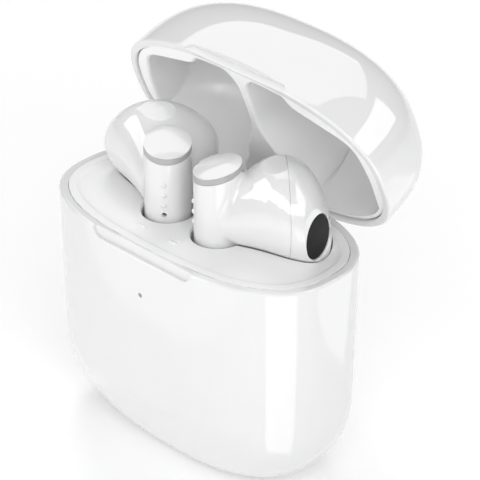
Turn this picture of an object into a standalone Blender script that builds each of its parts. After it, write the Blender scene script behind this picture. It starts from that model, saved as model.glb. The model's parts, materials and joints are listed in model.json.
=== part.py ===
"""Charging case for a pair of wireless earbuds, with the lid standing open and both earbuds seated.

The case stands on its own base, with the origin at the middle of the flat underneath, +Z up and the
front towards -Y. All dimensions below are in millimetres and the model is built in metres.
"""
import math

import bmesh
import bpy
from mathutils import Euler, Matrix, Vector

MM = 0.001

# case outline, as superellipses |x / half_width|^p + |y / half_depth|^q = 1
HALF_WIDTH = 25.0
HALF_DEPTH = 13.4
RIM_Z = 36.7
RIM_POWERS = (2.8, 2.55)
BOTTOM_POWERS = (2.4, 2.95)
DRAFT = 0.018
END_ROUNDING = (13.7, 15.8, 2.5)
FACE_ROUNDING = (11.5, 5.6, 1.4)
BASE_WALL = 1.25
SIDES = 52

# lid dome
LID_HEIGHT = 17.0
LID_POWERS = (2.45, 2.6)
LID_WIDTH_POWER = 2.9
LID_DEPTH_POWER = 3.1
LID_WALL = 1.2
LID_GAP = 0.3
LINER_GAP = 0.2
LINER_WALL = 0.5

# hinge
HINGE_Y = 11.8
HINGE_Z = 34.1
LID_OPEN_DEG = 68.7
HINGE_CLEAR = 2.45
PIN_RADIUS = 0.6
PIN_HOLE = 0.8
KNUCKLE_RADIUS = 1.35
ARM_HALF_WIDTH = 5.2
EAR_INNER = 5.6
EAR_OUTER = 7.3

# earbud stem
STEM_X = 5.0
STEM_Y = -2.67
STEM_RADIUS = 3.45
STEM_BORE = 2.75
STEM_BOTTOM = 17.0
CAP_Z = RIM_Z + 11.0
CAP_NORMAL = Vector((-0.17, -0.173, 0.97))
RING_HEIGHT = 1.0

# earbud head: an egg whose thick end points out and back
HEAD_CENTRE = Vector((9.2, 1.2, RIM_Z + 4.3))
HEAD_TURN = (-35.3, -12.7, 41.2)
HEAD_LENGTH = 9.6
HEAD_WIDTH = 6.4
HEAD_HEIGHT = 6.0
HEAD_TAPER = 0.79
HEAD_DROOP = -0.30
HEAD_POWER = 2.45
HEAD_ROUND_POWER = 2.15
HEAD_WALL = 1.1
HEAD_ROOM = 0.3
HEAD_EASE = 0.9
SEAM_NORMAL = Vector((0.666, 0.746, 0.0))
SEAM_POINT = Vector((16.5, -0.2, RIM_Z + 8.0))
SOUND_NORMAL = Vector((0.973, 0.217, 0.084))
SOUND_CENTRE = Vector((19.4, 2.8, RIM_Z + 3.4))
SOUND_RADIUS = 3.3

# seats for the earbuds
SEAT_GAP = 0.45
WELL_RADIUS = 3.9
WELL_WALL = 0.8
WELL_BOTTOM = 15.0
WELL_FLOOR = 16.2
CONTACT_SPACING = 2.6

RIGHT = 1
LEFT = -1


def clear_scene():
    """Empty the file, so that the script gives the same result each time."""
    for item in list(bpy.data.objects):
        bpy.data.objects.remove(item, do_unlink=True)


def material(name, colour, roughness, metallic=0.0):
    """A plain Principled material."""
    made = bpy.data.materials.new(name)
    made.use_nodes = True
    shader = made.node_tree.nodes["Principled BSDF"]
    shader.inputs["Base Color"].default_value = (*colour, 1.0)
    shader.inputs["Roughness"].default_value = roughness
    shader.inputs["Metallic"].default_value = metallic
    made.diffuse_color = (*colour, 1.0)
    return made


def power(value, exponent):
    """A signed power, for superellipses."""
    return math.copysign(abs(value) ** exponent, value)


def loop(half_width, half_depth, powers, z, count=SIDES):
    """One superellipse at a level z. The level may be a function of y."""
    points = []
    for step in range(count):
        angle = 2 * math.pi * (step + 0.5) / count
        x = half_width * power(math.cos(angle), 2 / powers[0])
        y = half_depth * power(math.sin(angle), 2 / powers[1])
        points.append(Vector((x, y, z(y) if callable(z) else z)))
    return points


def rounding(z, shape):
    """Share of the full rounding left at a level: 1 on the floor, 0 above its height."""
    height, _, exponent = shape
    if z >= height:
        return 0.0
    return 1 - (1 - (1 - z / height) ** exponent) ** (1 / exponent)


def base_loop(level, inset=0.0, z=None):
    """The base's outline at a level, drawn in by an inset."""
    ends = rounding(level, END_ROUNDING)
    faces = rounding(level, FACE_ROUNDING)
    narrowing = DRAFT * (RIM_Z - level) + inset
    powers = [top + (low - top) * ends for top, low in zip(RIM_POWERS, BOTTOM_POWERS)]
    half_width = HALF_WIDTH - END_ROUNDING[1] * ends - narrowing
    half_depth = HALF_DEPTH - FACE_ROUNDING[1] * faces - narrowing
    return loop(half_width, half_depth, powers, level if z is None else z)


def behind_hinge(z):
    """A rim level that drops round the hinge line, so that the lid's back edge can swing past."""
    def level(y):
        back = max(y - HINGE_Y, 0.0)
        return min(z, HINGE_Z + math.sqrt(HINGE_CLEAR ** 2 - min(back, HINGE_CLEAR) ** 2))
    return level


def lid_loop(level, inset=0.0):
    """The lid's outline at a level above the parting line, drawn in by an inset."""
    share = min(max(level, 0.0) / (LID_HEIGHT - inset), 0.999)
    half_width = (HALF_WIDTH - inset) * (1 - share ** LID_WIDTH_POWER) ** (1 / LID_WIDTH_POWER)
    half_depth = (HALF_DEPTH - inset) * (1 - share ** LID_DEPTH_POWER) ** (1 / LID_DEPTH_POWER)
    return loop(half_width, half_depth, LID_POWERS, RIM_Z + level)


def lofted(rings):
    """A closed skin through rings of equal count, with a flat face on each end."""
    mesh = bmesh.new()
    rows = [[mesh.verts.new(point) for point in ring] for ring in rings]
    for low, high in zip(rows, rows[1:]):
        for a in range(len(low)):
            b = (a + 1) % len(low)
            mesh.faces.new((low[a], low[b], high[b], high[a]))
    mesh.faces.new(rows[0])
    mesh.faces.new(rows[-1])
    bmesh.ops.recalc_face_normals(mesh, faces=mesh.faces)
    return mesh


def tube(rings):
    """A closed skin through rings that run round a wall and back to the first ring."""
    mesh = bmesh.new()
    rows = [[mesh.verts.new(point) for point in ring] for ring in rings]
    for low, high in zip(rows, rows[1:] + rows[:1]):
        for a in range(len(low)):
            b = (a + 1) % len(low)
            mesh.faces.new((low[a], low[b], high[b], high[a]))
    bmesh.ops.recalc_face_normals(mesh, faces=mesh.faces)
    return mesh


def circle(centre, radius, along, count=20, turn=0.5):
    """Points on a circle round an axis direction."""
    along = along.normalized()
    side = along.orthogonal().normalized()
    other = along.cross(side)
    points = []
    for step in range(count):
        angle = 2 * math.pi * (step + turn) / count
        points.append(centre + radius * (math.cos(angle) * side + math.sin(angle) * other))
    return points


def turned(centre, along, profile, count=20):
    """A solid turned round an axis, from (radius, distance along) pairs."""
    along = along.normalized()
    return lofted([circle(centre + along * far, radius, along, count) for radius, far in profile])


def turned_tube(centre, along, outer, inner, start, end, count=20):
    """A plain tube round an axis."""
    along = along.normalized()
    corners = ((outer, start), (outer, end), (inner, end), (inner, start))
    return tube([circle(centre + along * far, radius, along, count) for radius, far in corners])


def box(low, high):
    """A block between two corners."""
    mesh = bmesh.new()
    bmesh.ops.create_cube(mesh, size=1.0)
    low, high = Vector(low), Vector(high)
    for vert in mesh.verts:
        vert.co = Vector((low[n] + (vert.co[n] + 0.5) * (high[n] - low[n]) for n in range(3)))
    return mesh


def prism(outline, low, high):
    """An upright block with a drawn outline."""
    return lofted([[Vector((x, y, z)) for x, y in outline] for z in (low, high)])


def slot_prism(half_length, radius, centre_z, start_y, end_y, count=8):
    """A round-ended bar lying along Y, with its length along X."""
    points = []
    for end in (1, -1):
        for step in range(count + 1):
            angle = math.pi * step / count - math.pi / 2
            x = end * (half_length - radius + radius * math.cos(angle))
            points.append((x, centre_z + end * radius * math.sin(angle)))
    return lofted([[Vector((x, y, z)) for x, z in points] for y in (start_y, end_y)])


def half_space(point, normal, size=30.0):
    """A large block on the side of a plane that its normal points to."""
    mesh = box((-size, -size, 0.0), (size, size, size))
    turn = normal.to_track_quat("Z", "Y").to_matrix().to_4x4()
    bmesh.ops.transform(mesh, matrix=Matrix.Translation(point) @ turn, verts=mesh.verts)
    return mesh


def clear_of_lid(point):
    """Ease a point on the back of the head forwards, where the shut lid's wall would press on it."""
    inset = LID_WALL + LINER_GAP + LINER_WALL
    share = max(point.z - RIM_Z, 0.0) / (LID_HEIGHT - inset)
    half_width = (HALF_WIDTH - inset) * (1 - share ** LID_WIDTH_POWER) ** (1 / LID_WIDTH_POWER)
    half_depth = (HALF_DEPTH - inset) * (1 - share ** LID_DEPTH_POWER) ** (1 / LID_DEPTH_POWER)
    across = min(abs(point.x) / half_width, 1.0)
    wall = half_depth * (1 - across ** LID_POWERS[0]) ** (1 / LID_POWERS[1])
    start = wall - HEAD_ROOM - HEAD_EASE
    if point.y > start > 0:
        point.y = start + HEAD_EASE * (1 - math.exp((start - point.y) / HEAD_EASE))
    return point


def head_egg(grow=0.0, rows=15, count=28):
    """The earbud head's outer skin, or that skin moved out by a distance along its normals."""
    turn = Euler([math.radians(angle) for angle in HEAD_TURN]).to_matrix()
    rings = []
    for row in range(1, rows):
        along = -math.cos(math.pi * row / rows)
        wide = (1 - abs(along) ** HEAD_POWER) ** (1 / HEAD_POWER) * (1 + HEAD_TAPER * along)
        ring = []
        for step in range(count):
            angle = 2 * math.pi * step / count
            across = HEAD_WIDTH * wide * power(math.cos(angle), 2 / HEAD_ROUND_POWER)
            upward = HEAD_HEIGHT * wide * power(math.sin(angle), 2 / HEAD_ROUND_POWER)
            upward += HEAD_DROOP * HEAD_LENGTH * along * along
            skin = HEAD_CENTRE + turn @ Vector((HEAD_LENGTH * along, across, upward))
            ring.append(clear_of_lid(skin))
        rings.append(ring)
    mesh = lofted(rings)
    ends = [face for face in mesh.faces if len(face.verts) > 4]
    for face, sign in zip(ends, (-1, 1)):
        tip = Vector((sign * HEAD_LENGTH, 0.0, HEAD_DROOP * HEAD_LENGTH))
        poked = bmesh.ops.poke(mesh, faces=[face])
        poked["verts"][0].co = HEAD_CENTRE + turn @ tip
    bmesh.ops.recalc_face_normals(mesh, faces=mesh.faces)
    if grow:
        mesh.normal_update()
        moved = [vert.co + vert.normal * grow for vert in mesh.verts]
        for vert, place in zip(mesh.verts, moved):
            vert.co = place
    return mesh


def stem_level(level):
    """A sloping plane parallel to the cap, as a height for each point round the stem."""
    def height(point):
        rise = CAP_NORMAL.x * (point.x - STEM_X) + CAP_NORMAL.y * (point.y - STEM_Y)
        return CAP_Z + level - rise / CAP_NORMAL.z
    return height


def stem_ring(radius, level, sloping=True, count=24):
    """A ring round the stem, sloping with the cap or level."""
    ring = circle(Vector((STEM_X, STEM_Y, 0.0)), radius, Vector((0, 0, 1)), count)
    height = stem_level(level)
    for point in ring:
        point.z = height(point) if sloping else level
    return ring


def solid(name, mesh, look=None, side=RIGHT, smooth=35.0):
    """Turn a drawn mesh into a named object, mirrored across the middle for the left side."""
    if side == LEFT:
        bmesh.ops.scale(mesh, vec=(-1, 1, 1), verts=mesh.verts)
        bmesh.ops.reverse_faces(mesh, faces=mesh.faces)
    bmesh.ops.scale(mesh, vec=(MM, MM, MM), verts=mesh.verts)
    data = bpy.data.meshes.new(name)
    mesh.to_mesh(data)
    mesh.free()
    made = bpy.data.objects.new(name, data)
    bpy.context.scene.collection.objects.link(made)
    if look is not None:
        data.materials.append(look)
        data.shade_smooth()
        data.set_sharp_from_angle(angle=math.radians(smooth))
    return made


def shaped(target, operation, mesh, side=RIGHT):
    """Cut a tool out of an object, join it on, or keep only what both share."""
    tool = solid(f"{target.name}.tool{len(target.modifiers)}", mesh, side=side)
    tool.hide_render = True
    tool.display_type = "WIRE"
    tool.parent = target.parent
    step = target.modifiers.new(operation.lower(), "BOOLEAN")
    step.operation = operation
    step.solver = "EXACT"
    step.object = tool
    return target


def cut(target, mesh, side=RIGHT):
    """Cut a tool out of an object."""
    return shaped(target, "DIFFERENCE", mesh, side)


def add(target, mesh, side=RIGHT):
    """Join a tool on to an object."""
    return shaped(target, "UNION", mesh, side)


def pivot(name, place, turn=(0.0, 0.0, 0.0)):
    """An empty on a joint, which the moving pieces hang from."""
    made = bpy.data.objects.new(name, None)
    bpy.context.scene.collection.objects.link(made)
    made.location = Vector(place) * MM
    made.rotation_euler = [math.radians(angle) for angle in turn]
    return made


def hang(joint, pieces):
    """Give pieces, and the tools that shape them, their joint as parent and as origin."""
    for piece in pieces:
        tools = [step.object for step in piece.modifiers if step.type == "BOOLEAN"]
        for item in [piece] + tools:
            item.data.transform(Matrix.Translation(-joint.location))
            item.parent = joint


def build_base(looks):
    """The outer shell of the base, its light, its battery, its board and its charging socket."""
    bevel = 0.3
    outer_levels = (0.0, 0.35, 1.1, 2.3, 4.2, 6.8, 10.0, 13.7, 22.0, 33.0)
    rings = [base_loop(level) for level in outer_levels]
    rings.append(base_loop(RIM_Z, 0.0, behind_hinge(RIM_Z - bevel)))
    rings.append(base_loop(RIM_Z, bevel, behind_hinge(RIM_Z)))
    rings.append(base_loop(RIM_Z, BASE_WALL, behind_hinge(RIM_Z)))
    rings.append(base_loop(33.0, BASE_WALL))
    under = 1.3
    for level in (13.7, 9.2, 6.0, 3.6, 2.0):
        rings.append(base_loop(max(level - under, 0.7), BASE_WALL, level))
    shell = solid("base_shell", lofted(rings), looks["white"])
    cut(shell, slot_prism(9.75, 1.5, RIM_Z - 0.1, -20.0, -12.62))
    cut(shell, turned(Vector((0, -16, 29.1)), Vector((0, 1, 0)), ((0.36, 0.0), (0.36, 5.0)), 12))
    cut(shell, slot_prism(4.8, 1.95, 11.0, 9.0, 16.0))
    cut(shell, box((-7.7, 9.0, 31.2), (7.7, 16.0, 40.0)))

    front = Vector((0, -1, 0))
    light = Vector((0, -11.3, 29.1))
    solid("status_light", turned(light, front, ((1.0, -0.8), (1.0, 0.1), (0.6, 0.4)), 12), looks["light"])
    solid("case_battery", box((-13, -5.4, 3.2), (13, 5.4, 8.8)), looks["foil"])
    solid("battery_pad", box((-9, -6.0, 9.1), (9, 4.9, 12.6)), looks["foam"])
    solid("charge_board", box((-13, -6.5, 12.9), (13, 7.2, 13.7)), looks["board"])
    solid("charge_chip", box((-1.6, 2.6, 13.95), (1.6, 5.2, 14.7)), looks["chip"])

    socket = solid("charging_socket", slot_prism(4.5, 1.65, 11.0, 5.6, 12.5), looks["steel"])
    cut(socket, slot_prism(4.15, 1.3, 11.0, 6.1, 14.0))
    solid("socket_tongue", box((-3.2, 6.35, 10.65), (3.2, 11.6, 11.35)), looks["chip"])

    for side, name in ((RIGHT, "right"), (LEFT, "left")):
        solid(f"base_magnet_{name}", box((8.6, -9.7, 31.6), (12.4, -8.4, 34.0)), looks["steel"], side)


def build_tray(looks):
    """The inner tray, with a dished top, two deep stem wells and two cradles for the heads."""
    snug = BASE_WALL + 0.2
    lip = behind_hinge(RIM_Z + 0.2)
    skirt = RIM_Z - 5.0
    plate = [
        base_loop(RIM_Z, snug + 8.5, RIM_Z - 2.0),
        base_loop(RIM_Z, snug + 1.0, RIM_Z - 2.3),
        base_loop(RIM_Z, snug + 1.0, skirt),
        base_loop(RIM_Z, snug, skirt),
        base_loop(RIM_Z, snug, lip),
        base_loop(RIM_Z, snug + 1.0, lip),
        base_loop(RIM_Z, snug + 1.5, RIM_Z - 0.2),
        base_loop(RIM_Z, snug + 5.5, RIM_Z + 0.2),
        base_loop(RIM_Z, snug + 8.5, RIM_Z + 0.25),
    ]
    tray = solid("inner_tray", lofted(plate), looks["tray"])
    well = WELL_RADIUS + WELL_WALL
    below = RIM_Z - 1.4
    for side in (RIGHT, LEFT):
        bowl = head_egg(SEAT_GAP + 0.8, 11, 20)
        bmesh.ops.bisect_plane(bowl, geom=bowl.verts[:] + bowl.edges[:] + bowl.faces[:],
                               plane_co=(0, 0, below), plane_no=(0, 0, 1), clear_outer=True)
        rim = [edge for edge in bowl.edges if edge.is_boundary]
        bmesh.ops.contextual_create(bowl, geom=rim)
        bmesh.ops.recalc_face_normals(bowl, faces=bowl.faces)
        add(tray, bowl, side)
        stem = Vector((STEM_X, STEM_Y, 0.0))
        up = Vector((0, 0, 1))
        add(tray, turned(stem, up, ((well, WELL_BOTTOM), (well, below + 0.03)), 24), side)
    for side in (RIGHT, LEFT):
        cut(tray, head_egg(SEAT_GAP, 13, 24), side)
        cut(tray, turned(stem, up, ((WELL_RADIUS, WELL_FLOOR), (WELL_RADIUS, 44.0)), 24), side)
        for offset in (-CONTACT_SPACING / 2, CONTACT_SPACING / 2):
            hole = stem + Vector((offset, 0, 0))
            cut(tray, turned(hole, up, ((1.1, WELL_BOTTOM - 1), (1.1, WELL_FLOOR + 1)), 12), side)
    cut(tray, box((-7.9, 8.7, 28.0), (7.9, 16.0, 44.0)))


def build_pins(looks):
    """Two sprung charging pins under each earbud, each in its own sleeve on the board."""
    up = Vector((0, 0, 1))
    for side, name in ((RIGHT, "right"), (LEFT, "left")):
        for offset, where in ((-CONTACT_SPACING / 2, "inner"), (CONTACT_SPACING / 2, "outer")):
            foot = Vector((STEM_X + offset, STEM_Y, 0.0))
            solid(f"pin_sleeve_{name}_{where}", turned_tube(foot, up, 0.85, 0.62, 13.95, 16.35, 12),
                  looks["brass"], side)
            pin = solid(f"contact_pin_{name}_{where}",
                        turned(foot, up, ((0.4, 14.6), (0.4, 16.6), (0.22, 16.75)), 10),
                        looks["brass"], side)
            foot.x *= side
            hang(pivot(f"pin_travel_{name}_{where}", foot + up * 14.6), [pin])


def build_hinge(looks):
    """The metal hinge block in the base, with its pin and spring."""
    across = Vector((1, 0, 0))
    axis = Vector((0, HINGE_Y, HINGE_Z))
    block = solid("hinge_block", box((-EAR_OUTER, 9.3, 31.6), (EAR_OUTER, 10.15, 35.3)), looks["steel"])
    for side in (RIGHT, LEFT):
        add(block, box((EAR_INNER, 9.5, 32.75), (EAR_OUTER, HINGE_Y + 0.02, 35.3)), side)
        add(block, turned(axis, across, ((KNUCKLE_RADIUS, EAR_INNER + 0.02), (KNUCKLE_RADIUS, EAR_OUTER - 0.02)), 16),
            side)
    cut(block, turned(axis, across, ((PIN_HOLE, -9.0), (PIN_HOLE, 9.0)), 14))
    reach = EAR_OUTER - 0.1
    solid("hinge_pin", turned(axis, across, ((PIN_RADIUS, -reach), (PIN_RADIUS, reach)), 12), looks["steel"])

    wire = 0.17
    coil = 1.05
    turns = 4
    steps = 12
    start = -1.7
    rings = []
    for step in range(turns * steps + 1):
        angle = 2 * math.pi * step / steps
        middle = axis + Vector((start - 2 * start * step / (turns * steps), 0, 0))
        middle += coil * Vector((0, math.cos(angle), math.sin(angle)))
        heading = Vector((-2 * start / (turns * 2 * math.pi), -coil * math.sin(angle), coil * math.cos(angle)))
        outward = Vector((0, math.cos(angle), math.sin(angle)))
        side_way = heading.normalized().cross(outward)
        corners = [2 * math.pi * (corner + 0.5) / 5 for corner in range(5)]
        rings.append([middle + wire * (math.cos(c) * outward + math.sin(c) * side_way) for c in corners])
    solid("hinge_spring", lofted(rings), looks["steel"])


def lid_cavity():
    """The outline of the space in the lid over the right earbud."""
    return (
        (0.8, -8.5), (1.6, -10.2), (3.2, -11.3), (6.2, -11.6), (8.3, -11.0), (9.6, -9.2),
        (19.0, -6.8), (20.6, -5.4), (21.7, -1.0), (21.8, 14.0), (6.3, 14.0), (6.3, 9.6),
        (4.3, 7.2), (3.6, 4.5), (0.8, -0.8),
    )


def build_lid(looks):
    """The lid shell, its liner, its two magnets and the arm of its hinge, drawn shut and then opened."""
    levels = (LID_GAP, 1.2, 3.0, 5.5, 8.0, 10.5, 12.7, 14.4, 15.6, 16.4, 16.85)
    outer = [lid_loop(level) for level in levels]
    inner = [lid_loop(level, LID_WALL) for level in (LID_GAP, 3.0, 6.0, 9.0, 11.5, 13.4, 14.7, 15.5)]
    shell = solid("lid_shell", lofted(outer[::-1] + inner), looks["white"])
    cut(shell, slot_prism(9.8, 1.3, RIM_Z + 0.1, -20.0, -12.62))

    snug = LID_WALL + LINER_GAP
    mouth = 0.6
    filled = (mouth, 3.0, 6.0, 9.0, 11.5, 13.4, 14.7, 15.3)
    liner = solid("lid_liner", lofted([lid_loop(level, snug) for level in filled]), looks["tray"])
    wall = snug + LINER_WALL
    hollow = (-2.0, 3.0, 6.0, 9.0, 11.2, 13.0, 14.2, 14.8)
    for side in (RIGHT, LEFT):
        room = solid(f"lid_room{side}", lofted([lid_loop(level, wall) for level in hollow]), side=side)
        shaped(room, "INTERSECT", prism(lid_cavity(), RIM_Z - 4.0, RIM_Z + 20.0), side)
        room.hide_render = True
        room.display_type = "WIRE"
        step = liner.modifiers.new("room", "BOOLEAN")
        step.operation = "DIFFERENCE"
        step.solver = "EXACT"
        step.object = room
    cut(liner, box((-ARM_HALF_WIDTH - 0.4, 10.3, 30.0), (ARM_HALF_WIDTH + 0.4, 16.0, 43.0)))
    magnets = []
    for side, name in ((RIGHT, "right"), (LEFT, "left")):
        cut(liner, box((9.95, -10.3, 33.0), (14.0, -8.95, 39.3)), side)
        magnets.append(solid(f"lid_magnet_{name}", box((10.15, -10.1, 37.5), (13.8, -9.15, 39.1)),
                             looks["steel"], side))

    across = Vector((1, 0, 0))
    axis = Vector((0, HINGE_Y, HINGE_Z))
    arm = solid("lid_hinge_arm", box((-ARM_HALF_WIDTH, 10.6, 35.0), (ARM_HALF_WIDTH, 11.85, 42.4)),
                looks["steel"])
    barrel = KNUCKLE_RADIUS
    for side in (RIGHT, LEFT):
        ends = ((barrel, 2.4), (barrel, ARM_HALF_WIDTH - 0.02))
        add(arm, turned(axis, across, ends, 16), side)
    cut(arm, box((-2.4, 9.0, 32.0), (2.4, 14.0, 35.9)))
    cut(arm, turned(axis, across, ((PIN_HOLE, -9.0), (PIN_HOLE, 9.0)), 14))

    joint = pivot("lid_hinge", axis, (-LID_OPEN_DEG, 0, 0))
    rooms = [step.object for step in liner.modifiers if step.name.startswith("room")]
    hang(joint, [shell, liner, arm, *magnets])
    for room in rooms:
        tool = room.modifiers[0].object
        tool.data.transform(Matrix.Translation(-joint.location))
        tool.parent = joint


def build_earbud(looks, side, name):
    """One earbud: stem and rear shell, front shell, cap and ring, sound grille and what is inside."""
    up = Vector((0, 0, 1))
    stem = Vector((STEM_X, STEM_Y, 0.0))
    shell_foot = STEM_BOTTOM + 1.3
    body = [stem_ring(STEM_RADIUS, shell_foot, False), stem_ring(STEM_RADIUS, -RING_HEIGHT - 0.15)]
    rear = solid(f"stem_shell_{name}", lofted(body), looks["white"], side)
    add(rear, head_egg(), side)
    cut(rear, head_egg(-HEAD_WALL, 11, 20), side)
    bore = [stem_ring(STEM_BORE, shell_foot - 2, False), stem_ring(STEM_BORE, 3.0)]
    cut(rear, lofted(bore), side)
    cut(rear, half_space(SEAM_POINT, SEAM_NORMAL), side)
    facing = Vector((-0.588, -0.809, 0.0))
    dots = bmesh.new()
    for level in (2.7, 4.3, 5.95):
        spot = Matrix.Translation(stem + facing * (STEM_RADIUS - 0.2) + up * (RIM_Z + level))
        bmesh.ops.create_icosphere(dots, subdivisions=1, radius=0.45, matrix=spot)
    add(rear, dots, side)
    hole = stem + Vector((0, 0, RIM_Z + 1.15))
    cut(rear, turned(hole, facing, ((0.32, 1.5), (0.32, 5.0)), 8), side)

    gap = 0.2
    front = solid(f"front_shell_{name}", head_egg(), looks["white"], side)
    cut(front, head_egg(-HEAD_WALL, 11, 20), side)
    cut(front, half_space(SEAM_POINT + SEAM_NORMAL * gap, -SEAM_NORMAL), side)
    cut(front, half_space(SOUND_CENTRE, SOUND_NORMAL), side)
    cut(front, turned(SOUND_CENTRE, SOUND_NORMAL, ((SOUND_RADIUS, -1.0), (SOUND_RADIUS, 4.0)), 24), side)
    grille = ((SOUND_RADIUS - 0.15, -0.55), (SOUND_RADIUS - 0.15, -0.2), (SOUND_RADIUS - 0.8, -0.1))
    mesh = solid(f"sound_mesh_{name}", turned(SOUND_CENTRE, SOUND_NORMAL, grille, 24), looks["mesh"], side)

    ring = tube([stem_ring(STEM_RADIUS, -RING_HEIGHT), stem_ring(STEM_RADIUS, -0.05),
                 stem_ring(STEM_BORE, -0.05), stem_ring(STEM_BORE, -RING_HEIGHT)])
    band = solid(f"cap_ring_{name}", ring, looks["silver"], side)
    dome = [stem_ring(STEM_RADIUS, 0.1), stem_ring(STEM_RADIUS - 0.25, 0.35),
            stem_ring(STEM_RADIUS - 1.2, 0.62), stem_ring(STEM_RADIUS - 2.5, 0.72)]
    cap = solid(f"touch_cap_{name}", lofted([stem_ring(STEM_RADIUS - 0.05, 0.08)] + dome[1:]), looks["white"], side)

    centre = HEAD_CENTRE + Vector((4.1, 2.3, 1.0))
    speaker = ((4.9, -1.6), (4.9, 0.6), (4.0, 1.2))
    driver = solid(f"speaker_{name}", turned(centre, SEAM_NORMAL, speaker, 20), looks["steel"], side)
    board = solid(f"earbud_board_{name}",
                  turned(centre, SEAM_NORMAL, ((3.6, -2.9), (3.6, -2.2)), 14), looks["board"], side)
    cell = solid(f"earbud_battery_{name}", turned(stem, up, ((2.3, 24.0), (2.3, 41.0)), 16), looks["foil"], side)

    foot = solid(f"stem_end_{name}", turned(stem, up, (
        (STEM_RADIUS - 0.5, STEM_BOTTOM), (STEM_RADIUS, STEM_BOTTOM + 0.5), (STEM_RADIUS, STEM_BOTTOM + 1.1),
        (STEM_BORE - 0.2, STEM_BOTTOM + 1.1), (STEM_BORE - 0.2, STEM_BOTTOM + 3.0)), 24), looks["white"], side)
    contacts = []
    for offset, where in ((-CONTACT_SPACING / 2, "inner"), (CONTACT_SPACING / 2, "outer")):
        spot = stem + Vector((offset, 0, 0))
        cut(foot, turned(spot, up, ((0.95, STEM_BOTTOM - 1), (0.95, STEM_BOTTOM + 0.6)), 12), side)
        disc = turned(spot, up, ((0.75, STEM_BOTTOM), (0.75, STEM_BOTTOM + 0.4)), 12)
        contacts.append(solid(f"earbud_contact_{name}_{where}", disc, looks["brass"], side))

    seat = Vector((STEM_X * side, STEM_Y, STEM_BOTTOM))
    pieces = [rear, front, mesh, band, cap, driver, board, cell, foot, *contacts]
    hang(pivot(f"earbud_lift_{name}", seat), pieces)


clear_scene()
LOOKS = {
    "white": material("gloss_white", (0.90, 0.90, 0.91), 0.12),
    "tray": material("satin_white", (0.84, 0.85, 0.86), 0.35),
    "silver": material("ring_silver", (0.62, 0.62, 0.63), 0.3, 0.8),
    "steel": material("plated_steel", (0.60, 0.60, 0.62), 0.3, 1.0),
    "brass": material("gold_plate", (0.80, 0.62, 0.30), 0.25, 1.0),
    "mesh": material("black_mesh", (0.01, 0.01, 0.01), 0.5),
    "light": material("light_pipe", (0.35, 0.36, 0.36), 0.3),
    "foil": material("cell_foil", (0.55, 0.56, 0.58), 0.4, 0.6),
    "foam": material("grey_foam", (0.20, 0.20, 0.21), 0.9),
    "board": material("green_board", (0.03, 0.22, 0.10), 0.45),
    "chip": material("black_plastic", (0.02, 0.02, 0.02), 0.4),
}
build_base(LOOKS)
build_tray(LOOKS)
build_pins(LOOKS)
build_hinge(LOOKS)
build_lid(LOOKS)
build_earbud(LOOKS, RIGHT, "right")
build_earbud(LOOKS, LEFT, "left")
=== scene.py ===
"""Looks for a wireless earbuds case, made in the order that the real one is put together."""

import json
import math

import bmesh
import bpy
import numpy as np
from mathutils import Euler, Matrix, Vector
from mathutils.bvhtree import BVHTree
from mathutils.interpolate import poly_3d_calc


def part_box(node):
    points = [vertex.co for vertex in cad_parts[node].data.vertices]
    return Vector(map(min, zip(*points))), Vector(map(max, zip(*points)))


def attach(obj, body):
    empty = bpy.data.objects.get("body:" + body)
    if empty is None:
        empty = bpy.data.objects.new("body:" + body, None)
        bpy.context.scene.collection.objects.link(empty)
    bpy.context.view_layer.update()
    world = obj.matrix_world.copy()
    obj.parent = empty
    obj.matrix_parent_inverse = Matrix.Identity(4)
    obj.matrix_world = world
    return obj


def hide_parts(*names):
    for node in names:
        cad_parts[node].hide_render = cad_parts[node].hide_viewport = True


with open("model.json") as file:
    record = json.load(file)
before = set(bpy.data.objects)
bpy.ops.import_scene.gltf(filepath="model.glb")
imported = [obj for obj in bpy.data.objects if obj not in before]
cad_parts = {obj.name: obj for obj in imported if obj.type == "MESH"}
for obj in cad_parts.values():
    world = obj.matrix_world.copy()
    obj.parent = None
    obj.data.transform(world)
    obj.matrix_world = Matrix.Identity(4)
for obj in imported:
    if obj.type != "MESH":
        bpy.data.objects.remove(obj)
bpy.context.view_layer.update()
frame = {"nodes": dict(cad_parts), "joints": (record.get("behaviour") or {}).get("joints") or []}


# ---------------------------------------------------------------------------------------------
# Base shell. The outer cup of the case, injection moulded in glossy white plastic with a wall of
# about 1.25 mm. It has a finger notch and a status light in front, the socket opening low at the
# back and a relief above it for the hinge. Sizes are in millimetres.
MM = 0.001
AROUND = 168
RIGHT = 1
LEFT = -1
CREASE = 38.0

base_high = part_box("base_shell")[1]
HALF_WIDTH = base_high.x / MM
HALF_DEPTH = 13.4
RIM = base_high.z / MM
RIM_CURVE = (2.8, 2.55)
FOOT_CURVE = (2.4, 2.95)
DRAFT = 0.018
# The foot's rounding at the ends and on the faces: its height, how far it draws in, and its curve.
END_TUCK = (13.7, 15.8, 2.5)
FACE_TUCK = (11.5, 5.6, 1.4)
BASE_WALL = 1.25
RIM_ROUND = 0.38

hinge = next(joint for joint in frame["joints"] if joint["name"] == "lid_hinge")
HINGE = Vector(hinge["pos_m"]) / MM
HINGE_CLEAR = 2.45


def bent(value, exponent):
    """A power that keeps the sign, for the rounded-rectangle outlines."""
    return math.copysign(abs(value) ** exponent, value)


def outline(half_width, half_depth, curve, z):
    """One rounded outline at a height, which may be a function of the depth."""
    points = []
    for step in range(AROUND):
        angle = 2 * math.pi * (step + 0.5) / AROUND
        x = half_width * bent(math.cos(angle), 2 / curve[0])
        y = half_depth * bent(math.sin(angle), 2 / curve[1])
        points.append(Vector((x, y, z(y) if callable(z) else z)))
    return points


def tuck(z, shape):
    """How far the foot is drawn in at a height: 1 on the table, 0 above the rounding."""
    height, _, exponent = shape
    if z >= height:
        return 0.0
    return 1 - (1 - (1 - z / height) ** exponent) ** (1 / exponent)


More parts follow.
